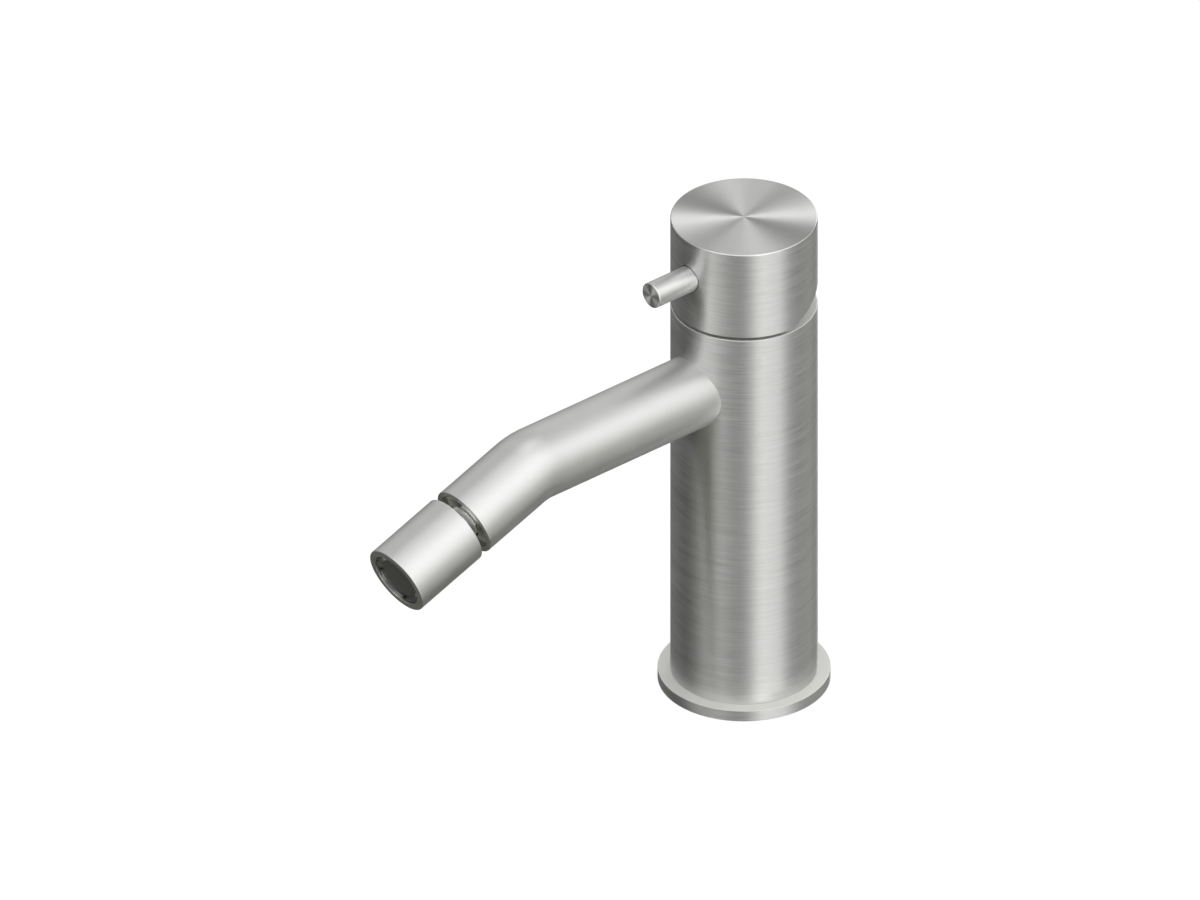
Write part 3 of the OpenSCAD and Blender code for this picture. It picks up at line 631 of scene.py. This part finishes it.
class Shader:
    """Short calls for building a material's or the world's nodes."""

    def __init__(self, tree):
        self.tree = tree
        tree.nodes.clear()

    def node(self, kind, **values):
        made = self.tree.nodes.new(kind)
        for key, value in values.items():
            setattr(made, key, value)
        return made

    def link(self, source, target):
        self.tree.links.new(source, target)

    def feed(self, target, value):
        """Links a socket's source, or sets the value of an unlinked socket."""
        if hasattr(value, "is_linked"):
            self.link(value, target)
        else:
            target.default_value = value

    def math(self, operation, a, b=0.0):
        made = self.node("ShaderNodeMath", operation=operation)
        self.feed(made.inputs[0], a)
        self.feed(made.inputs[1], b)
        return made.outputs[0]

    def vector(self, operation, a, b=(0, 0, 0)):
        made = self.node("ShaderNodeVectorMath", operation=operation)
        self.feed(made.inputs[0], a)
        self.feed(made.inputs[1], b)
        return made.outputs["Value" if operation in ("LENGTH", "DOT_PRODUCT") else "Vector"]

    def join(self, x, y, z):
        made = self.node("ShaderNodeCombineXYZ")
        for socket, value in zip(made.inputs, (x, y, z)):
            self.feed(socket, value)
        return made.outputs[0]

    def split(self, vector):
        made = self.node("ShaderNodeSeparateXYZ")
        self.link(vector, made.inputs[0])
        return made.outputs

    def ramp(self, value, low, high, to_low=0.0, to_high=1.0, smooth=True):
        made = self.node("ShaderNodeMapRange")
        made.interpolation_type = "SMOOTHSTEP" if smooth else "LINEAR"
        self.feed(made.inputs["Value"], value)
        self.feed(made.inputs["From Min"], low)
        self.feed(made.inputs["From Max"], high)
        self.feed(made.inputs["To Min"], to_low)
        self.feed(made.inputs["To Max"], to_high)
        return made.outputs["Result"]

    def swing(self, value, middle, share):
        """Stretches a noise from a share below a middle value to as much above it."""
        least, most = middle * (1 - share), middle * (1 + share)
        return self.ramp(value, NOISE_LOW, NOISE_HIGH, least, most, smooth=False)

    def noise(self, vector, scale=1.0, detail=2.0, roughness=0.5):
        made = self.node("ShaderNodeTexNoise")
        made.inputs["Scale"].default_value = scale
        made.inputs["Detail"].default_value = detail
        made.inputs["Roughness"].default_value = roughness
        self.link(vector, made.inputs["Vector"])
        return made.outputs["Fac"]

    def blend(self, fine, broad, share):
        """Two noises added, with the first one's share of the sum."""
        part = self.math("MULTIPLY", fine, share)
        return self.math("ADD", part, self.math("MULTIPLY", broad, 1 - share))

    def tint(self, colour, shade):
        """A colour times a brightness that varies over the surface."""
        made = self.node("ShaderNodeMix", data_type="RGBA", blend_type="MULTIPLY")
        made.inputs["Factor"].default_value = 1.0
        made.inputs["A"].default_value = (*colour, 1)
        self.link(self.join(shade, shade, shade), made.inputs["B"])
        return made.outputs["Result"]

    def mix(self, share, first, second):
        """A surface between two others: the first where share is 0 and the second where it is 1."""
        made = self.node("ShaderNodeMixShader")
        for socket, source in zip(made.inputs, (share, first, second)):
            self.link(source, socket)
        return made.outputs[0]

    def bump(self, surface, height, strength, depth):
        made = self.node("ShaderNodeBump")
        made.inputs["Strength"].default_value = strength
        made.inputs["Distance"].default_value = depth
        self.link(height, made.inputs["Height"])
        self.link(made.outputs[0], surface.inputs["Normal"])


def new_material(name):
    """A material with a bare surface, and the shader that builds the rest."""
    material = bpy.data.materials.new(name)
    material.use_nodes = True
    shader = Shader(material.node_tree)
    surface = shader.node("ShaderNodeBsdfPrincipled")
    output = shader.node("ShaderNodeOutputMaterial")
    shader.link(surface.outputs[0], output.inputs["Surface"])
    return material, shader, surface


def painted_highlight_rays(shader, place, share, turn):
    """Painted highlight and shade: a brightness that swings a few times round local Z, standing in for
    the star of light that turning marks catch on a small end.
    """
    x, y, _ = shader.split(place)
    angle = shader.math("SUBTRACT", shader.math("ARCTAN2", y, x), turn)
    swing = shader.math("COSINE", shader.math("MULTIPLY", angle, PAINTED_RAY_COUNT))
    return shader.math("ADD", shader.math("MULTIPLY", swing, share), 1.0)


def streaks(shader, x, y, across, length, pitch):
    """A place in which noise makes streaks of a length, which lie a pitch apart across their run."""
    return shader.join(shader.math("MULTIPLY", x, 1 / length), shader.math("MULTIPLY", y, 1 / length),
                       shader.math("MULTIPLY", across, 1 / pitch))


def turned_metal(name, colour, roughness, pitch, length, depth, contrast, metallic=1.0,
                 painted_ray_share=0.0, painted_ray_turn=0.0):
    """Steel brushed round local Z: streaks run round the axis on walls and in circles on flat ends."""
    material, shader, surface = new_material(name)
    place = shader.node("ShaderNodeTexCoord").outputs["Object"]
    x, y, z = shader.split(place)
    radius = shader.vector("LENGTH", shader.join(x, y, 0.0))
    across = shader.math("ADD", z, radius)
    fine = shader.noise(streaks(shader, x, y, across, length, pitch), detail=3, roughness=0.65)
    broad = shader.noise(streaks(shader, x, y, across, length / TURNED_LENGTH_SHARE,
                                 pitch / TURNED_PITCH_SHARE))
    mixed = shader.blend(fine, broad, TURNED_FINE)
    shade = shader.swing(mixed, 1.0, contrast)
    # The rays multiply the base colour: painted highlight and shade round the axis of a small end
    if painted_ray_share:
        shade = shader.math("MULTIPLY", shade, painted_highlight_rays(shader, place, painted_ray_share, painted_ray_turn))
    shader.link(shader.tint(colour, shade), surface.inputs["Base Color"])
    shader.link(shader.swing(mixed, roughness, TURNED_ROUGHNESS_SWING), surface.inputs["Roughness"])
    surface.inputs["Metallic"].default_value = metallic
    surface.inputs["Anisotropic"].default_value = ANISOTROPY
    surface.inputs["Anisotropic Rotation"].default_value = QUARTER_TURN
    tangent = shader.node("ShaderNodeTangent", direction_type="RADIAL", axis="Z")
    shader.link(tangent.outputs[0], surface.inputs["Tangent"])
    shader.bump(surface, fine, TURNED_BUMP, depth)
    return material


def satin_metal(name, colour, roughness, grain, depth, contrast=0.03, metallic=1.0):
    """Metal, or with metallic at 0 another hard material, with an even, fine grain."""
    material, shader, surface = new_material(name)
    place = shader.node("ShaderNodeTexCoord").outputs["Object"]
    fine = shader.noise(place, scale=1 / grain, detail=3)
    broad = shader.noise(place, scale=SATIN_GRAIN_SHARE / grain)
    mixed = shader.blend(fine, broad, SATIN_FINE)
    shader.link(shader.tint(colour, shader.swing(mixed, 1.0, contrast)), surface.inputs["Base Color"])
    shader.link(shader.swing(mixed, roughness, SATIN_ROUGHNESS_SWING), surface.inputs["Roughness"])
    surface.inputs["Metallic"].default_value = metallic
    shader.bump(surface, fine, SATIN_BUMP, depth)
    return material


def mesh_screen(name, colour, pitch):
    """The aerator's dark face: fine crossed wires over a dark ground."""
    material, shader, surface = new_material(name)
    place = shader.node("ShaderNodeTexCoord").outputs["Object"]
    x, y, _ = shader.split(place)
    wires = []
    for value in (x, y):
        wave = shader.math("SINE", shader.math("MULTIPLY", value, 2 * math.pi / pitch))
        wires.append(shader.math("ABSOLUTE", wave))
    height = shader.math("MINIMUM", wires[0], wires[1])
    shade = shader.ramp(height, 0.0, SCREEN_FLANK, SCREEN_LIGHT, SCREEN_DARK)
    shader.link(shader.tint(colour, shade), surface.inputs["Base Color"])
    surface.inputs["Roughness"].default_value = SCREEN_ROUGHNESS
    surface.inputs["Metallic"].default_value = 0.0
    shader.bump(surface, height, SCREEN_BUMP, SCREEN_DEPTH)
    return material


BRUSHED = turned_metal("brushed_steel", (0.71, 0.71, 0.705), roughness=0.40, pitch=0.5 * MM,
                       length=14 * MM, depth=0.08 * MM, contrast=0.085)
CAP_TOP = turned_metal("turned_steel", (0.725, 0.725, 0.715), roughness=0.38, pitch=0.4 * MM,
                       length=11 * MM, depth=0.004 * MM, contrast=0.02)
# The pin's end carries painted highlight and shade: rays of lighter and darker colour round its axis
PIN_END = turned_metal("turned_pin_end_painted_rays", (0.65, 0.65, 0.635), roughness=0.30, pitch=0.3 * MM,
                       length=3 * MM, depth=0.002 * MM, contrast=0.06, metallic=0.77,
                       painted_ray_share=0.42, painted_ray_turn=math.radians(56))
SATIN = satin_metal("satin_steel", (0.75, 0.75, 0.74), roughness=0.44, grain=0.25 * MM, depth=0.004 * MM)
PIN_STEEL = satin_metal("satin_pin_steel", (0.80, 0.80, 0.79), roughness=0.40, grain=0.2 * MM,
                        depth=0.003 * MM)
# Painted light on the flange's top: a paler steel, mostly not metallic, so that the top reads brightly lit
PALE_TOP_PAINTED_LIGHT = satin_metal("flange_top_painted_light", (0.79, 0.80, 0.76), roughness=0.5, grain=0.25 * MM,
                    depth=0.004 * MM, metallic=0.3)
RIM = satin_metal("faced_rim", (0.80, 0.80, 0.78), roughness=0.55, grain=0.25 * MM, depth=0.004 * MM)
END_FACE = satin_metal("faced_end", (0.75, 0.755, 0.72), roughness=0.40, grain=0.25 * MM,
                       depth=0.003 * MM, metallic=0.955)
EDGE = satin_metal("cut_edge", (0.78, 0.78, 0.77), roughness=0.30, grain=0.25 * MM, depth=0.002 * MM)
POLISHED = satin_metal("polished_chrome", (0.86, 0.86, 0.85), roughness=0.12, grain=0.5 * MM,
                       depth=0.001 * MM)
THREADED = satin_metal("threaded_ring", (0.24, 0.24, 0.23), roughness=0.18, grain=0.5 * MM,
                       depth=0.001 * MM, metallic=0.8)
BORE = satin_metal("polished_bore", (0.75, 0.75, 0.74), roughness=0.15, grain=0.5 * MM,
                   depth=0.001 * MM, metallic=0.96)
BRASS = satin_metal("machined_brass", (0.72, 0.52, 0.26), roughness=0.3, grain=0.3 * MM,
                    depth=0.006 * MM, contrast=0.06)
PLASTIC = satin_metal("moulded_plastic", (0.78, 0.77, 0.72), roughness=0.5, grain=0.2 * MM,
                      depth=0.004 * MM, metallic=0.0)
CERAMIC = satin_metal("lapped_ceramic", (0.85, 0.85, 0.83), roughness=0.15, grain=0.3 * MM,
                      depth=0.001 * MM, metallic=0.0)
RUBBER = satin_metal("black_rubber", (0.03, 0.03, 0.03), roughness=0.65, grain=0.25 * MM,
                     depth=0.01 * MM, contrast=0.12, metallic=0.0)
SCREEN = mesh_screen("aerator_screen", (0.055, 0.055, 0.05), pitch=0.45 * MM)


def paint(piece, material, chosen):
    """Gives a second material to the faces of a piece that a test on their centre and normal picks."""
    piece.data.materials.append(material)
    index = len(piece.data.materials) - 1
    for face in piece.data.polygons:
        if chosen(face.center, face.normal):
            face.material_index = index


def dress(piece, material, body, slot, *nodes):
    """Gives a piece its material and body and hides the nodes that it stands for; its slot is not used."""
    piece.data.materials.clear()
    piece.data.materials.append(material)
    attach(piece, body)
    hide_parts(*nodes)
    return piece


flange = dress(make_flange(), BRUSHED, "base", "body_steel", "base_flange")
sleeve = dress(make_sleeve(), BRUSHED, "base", "body_steel", "body_sleeve")
spout = dress(make_spout(), SATIN, "base", "spout_steel", "spout_tube", "spout_end")
dress(make_retainer(), POLISHED, "base", "polished_metal", "ball_retainer")
dress(make_ball(), POLISHED, "nozzle", "polished_metal", "swivel_ball")
nozzle = dress(make_nozzle(), SATIN, "nozzle", "spout_steel", "nozzle_shell")
dress(make_aerator_ring(), THREADED, "nozzle", "polished_metal", "aerator_housing")
dress(make_aerator_face(), SCREEN, "nozzle", "aerator_plastic", "aerator_core")
cap = dress(make_cap(), BRUSHED, "handle", "body_steel", "handle_cap")
pin = dress(make_pin(), PIN_STEEL, "handle", "body_steel", "pin_lever")

# How much of a face's normal runs along an axis: half, as on a flat end, as on the cap's flat top, and
# just past the wall at its rounded edge
MOSTLY = 0.5
FLAT = 0.9
CAP_FLAT = 0.97
CAP_ROUND = 0.1

# The flange's top takes the paler steel with painted light
paint(flange, PALE_TOP_PAINTED_LIGHT, lambda centre, normal: normal.z > MOSTLY)
paint(sleeve, RIM, lambda centre, normal: normal.z > MOSTLY)
paint(cap, CAP_TOP, lambda centre, normal: normal.z > CAP_FLAT)
paint(cap, EDGE, lambda centre, normal: (CAP_ROUND < normal.z < CAP_FLAT
                                         and centre.z > CAP_HIGH.z - CAP_EDGE))
# The pin's end takes the steel with painted rays of highlight and shade
paint(pin, PIN_END, lambda centre, normal: normal.z > FLAT)
paint(nozzle, END_FACE, lambda centre, normal: normal.z > FLAT)
paint(nozzle, BORE, lambda centre, normal: abs(normal.z) < MOSTLY and normal.xy.dot(centre.xy) < 0)
paint(spout, END_FACE, lambda centre, normal: normal.dot(SPOUT_AXIS) > FLAT)

CAD_MATERIALS = {
    "brass": BRASS, "rubber": RUBBER, "cartridge_plastic": PLASTIC, "seat_plastic": PLASTIC,
    "ceramic": CERAMIC, "spindle_steel": SATIN, "polished_metal": POLISHED, "body_steel": BRUSHED,
    "spout_steel": SATIN, "aerator_plastic": SCREEN,
}
SLOTS = {part["node"]: part["material_slot"] for part in frame["record"]["subparts"]}
for node_name, node_object in frame["nodes"].items():
    node_object.data.materials.clear()
    node_object.data.materials.append(CAD_MATERIALS[SLOTS[node_name]])

# Camera, as in the photograph: an orthographic view from above and to one side, whose middle lies to
# the left of the base's centre and above it
CAMERA_AZIMUTH = math.radians(49)
CAMERA_ELEVATION = math.radians(31.8)
CAMERA_DISTANCE = 1.5
VIEW_WIDTH = 357.5 * MM
AIM_RIGHT = -42.927 * MM
AIM_UP = 67.304 * MM

# The studio is a white tent. Lamps and grey flags stand in it, each a soft round patch: its azimuth to
# the right of the camera, its elevation and its softness in degrees, and its strength.
LAMPS = {
    "strip behind on the right": (160.5, 20, 7, 4.2),
    "ceiling behind": (166, 72, 8, 1.7),
    "window at the front": (-50, 48, 13, 1.9),
    "ceiling on the right": (62, 41, 22.5, 0.6),
    "low key on the right": (56, -37.5, 8.5, 1.9),
    "low fill at the front": (25.5, -5, 11, 2.25),
}
FLAGS = {
    "front": (-12, -32, 22, 1.0),
    "low behind": (-154, -31, 32, 1.0),
    "high on the left": (-97, 69, 17.5, 1.0),
    "high behind": (153, 46, 20.5, 0.97),
    "low on the right": (83, -41, 31, 1.0),
    "floor in front": (55.5, -80, 35, 1.0),
    "left": (-97, -28, 33, 1.0),
    "right": (134, -11.5, 10, 1.0),
    "upper left": (-96, 20.5, 16, 0.35),
    "low at the back": (181, -38, 15.5, 0.5),
}

# The tent's cloth is faintly tinted below the horizon, and blends to white across a band of directions
LOW_TINT = (0.965, 1.0, 0.85)
LOW_BLEND = 0.3

# The floor: half its side and its drop in metres, its colour to all but the camera, and what the camera
# sees of it, which is a share that can be shadowed and a glow
FLOOR_SIZE = 3.0
FLOOR_DROP = 0.05 * MM
FLOOR_COLOUR = 0.85
SHADOW_SHARE = 0.25
FLOOR_GLOW = 0.84


def make_camera():
    """The photograph's camera."""
    right = Vector((math.cos(CAMERA_AZIMUTH), math.sin(CAMERA_AZIMUTH), 0))
    back = Vector((math.sin(CAMERA_AZIMUTH) * math.cos(CAMERA_ELEVATION),
                   -math.cos(CAMERA_AZIMUTH) * math.cos(CAMERA_ELEVATION), math.sin(CAMERA_ELEVATION)))
    up = back.cross(right)
    place = right * AIM_RIGHT + up * AIM_UP + back * CAMERA_DISTANCE
    camera = bpy.data.objects.new("camera", bpy.data.cameras.new("camera"))
    camera.data.type = "ORTHO"
    camera.data.ortho_scale = VIEW_WIDTH
    camera.matrix_world = Matrix.Translation(place) @ Matrix((right, up, back)).transposed().to_4x4()
    bpy.context.scene.collection.objects.link(camera)
    bpy.context.scene.camera = camera


def soft_patch(shader, direction, azimuth, elevation, softness, strength):
    """Falls softly from a strength in one direction to 0 away from it."""
    turn = math.radians(azimuth) - math.pi / 2 + CAMERA_AZIMUTH
    rise = math.radians(elevation)
    middle = (math.cos(turn) * math.cos(rise), math.sin(turn) * math.cos(rise), math.sin(rise))
    near = shader.vector("DOT_PRODUCT", direction, middle)
    away = shader.math("SUBTRACT", near, 1.0)
    patch = shader.math("EXPONENT", shader.math("DIVIDE", away, math.radians(softness) ** 2))
    return shader.math("MULTIPLY", patch, strength)


def make_world():
    """A white tent with lamps and flags, which the camera and clear things see as plain white."""
    world = bpy.data.worlds.new("studio")
    bpy.context.scene.world = world
    world.use_nodes = True
    shader = Shader(world.node_tree)
    direction = shader.vector("NORMALIZE", shader.node("ShaderNodeTexCoord").outputs["Generated"])
    cloth, glow = 1.0, 0.0
    for flag in FLAGS.values():
        open_share = shader.math("SUBTRACT", 1.0, soft_patch(shader, direction, *flag))
        cloth = shader.math("MULTIPLY", cloth, open_share)
    for lamp in LAMPS.values():
        glow = shader.math("ADD", glow, soft_patch(shader, direction, *lamp))
    low = shader.ramp(shader.split(direction)[2], -LOW_BLEND, LOW_BLEND, 1.0, 0.0)
    colour = []
    for share in LOW_TINT:
        tint = shader.math("SUBTRACT", 1.0, shader.math("MULTIPLY", low, 1 - share))
        colour.append(shader.math("ADD", shader.math("MULTIPLY", cloth, tint), glow))
    tent = shader.node("ShaderNodeBackground")
    shader.link(shader.join(*colour), tent.inputs["Color"])
    white = shader.node("ShaderNodeBackground")
    white.inputs["Color"].default_value = (1, 1, 1, 1)
    path = shader.node("ShaderNodeLightPath")
    plain = shader.math("MAXIMUM", path.outputs["Is Camera Ray"], path.outputs["Is Transmission Ray"])
    output = shader.node("ShaderNodeOutputWorld")
    shader.link(shader.mix(plain, tent.outputs[0], white.outputs[0]), output.inputs["Surface"])


def make_floor():
    """A pale floor, white with a faint shadow to the camera and clear to reflections of the tent."""
    material = bpy.data.materials.new("floor")
    material.use_nodes = True
    shader = Shader(material.node_tree)
    pale = shader.node("ShaderNodeBsdfDiffuse")
    pale.inputs["Color"].default_value = (FLOOR_COLOUR, FLOOR_COLOUR, FLOOR_COLOUR, 1)
    shadowed = shader.node("ShaderNodeBsdfDiffuse")
    shadowed.inputs["Color"].default_value = (SHADOW_SHARE, SHADOW_SHARE, SHADOW_SHARE, 1)
    glow = shader.node("ShaderNodeEmission")
    glow.inputs["Strength"].default_value = FLOOR_GLOW
    seen = shader.node("ShaderNodeAddShader")
    shader.link(shadowed.outputs[0], seen.inputs[0])
    shader.link(glow.outputs[0], seen.inputs[1])
    clear = shader.node("ShaderNodeBsdfTransparent")
    path = shader.node("ShaderNodeLightPath")
    through = shader.math("MAXIMUM", path.outputs["Is Glossy Ray"], path.outputs["Is Transmission Ray"])
    solid = shader.mix(path.outputs["Is Camera Ray"], pale.outputs[0], seen.outputs[0])
    output = shader.node("ShaderNodeOutputMaterial")
    shader.link(shader.mix(through, solid, clear.outputs[0]), output.inputs["Surface"])
    side = FLOOR_SIZE
    floor = finish_mesh("floor", [(-side, -side, 0), (side, -side, 0), (side, side, 0), (-side, side, 0)],
                        [[0, 1, 2, 3]], Matrix.Translation((0, 0, FLANGE_LOW.z - FLOOR_DROP)))
    floor.data.materials.append(material)
    floor.visible_shadow = False
    floor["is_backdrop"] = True


make_camera()
make_world()
make_floor()
bpy.context.scene.view_settings.view_transform = "Standard"

boxes = {"cad": cad_box, "visual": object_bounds()}
{name: [list(corner) for corner in box] for name, box in boxes.items()}
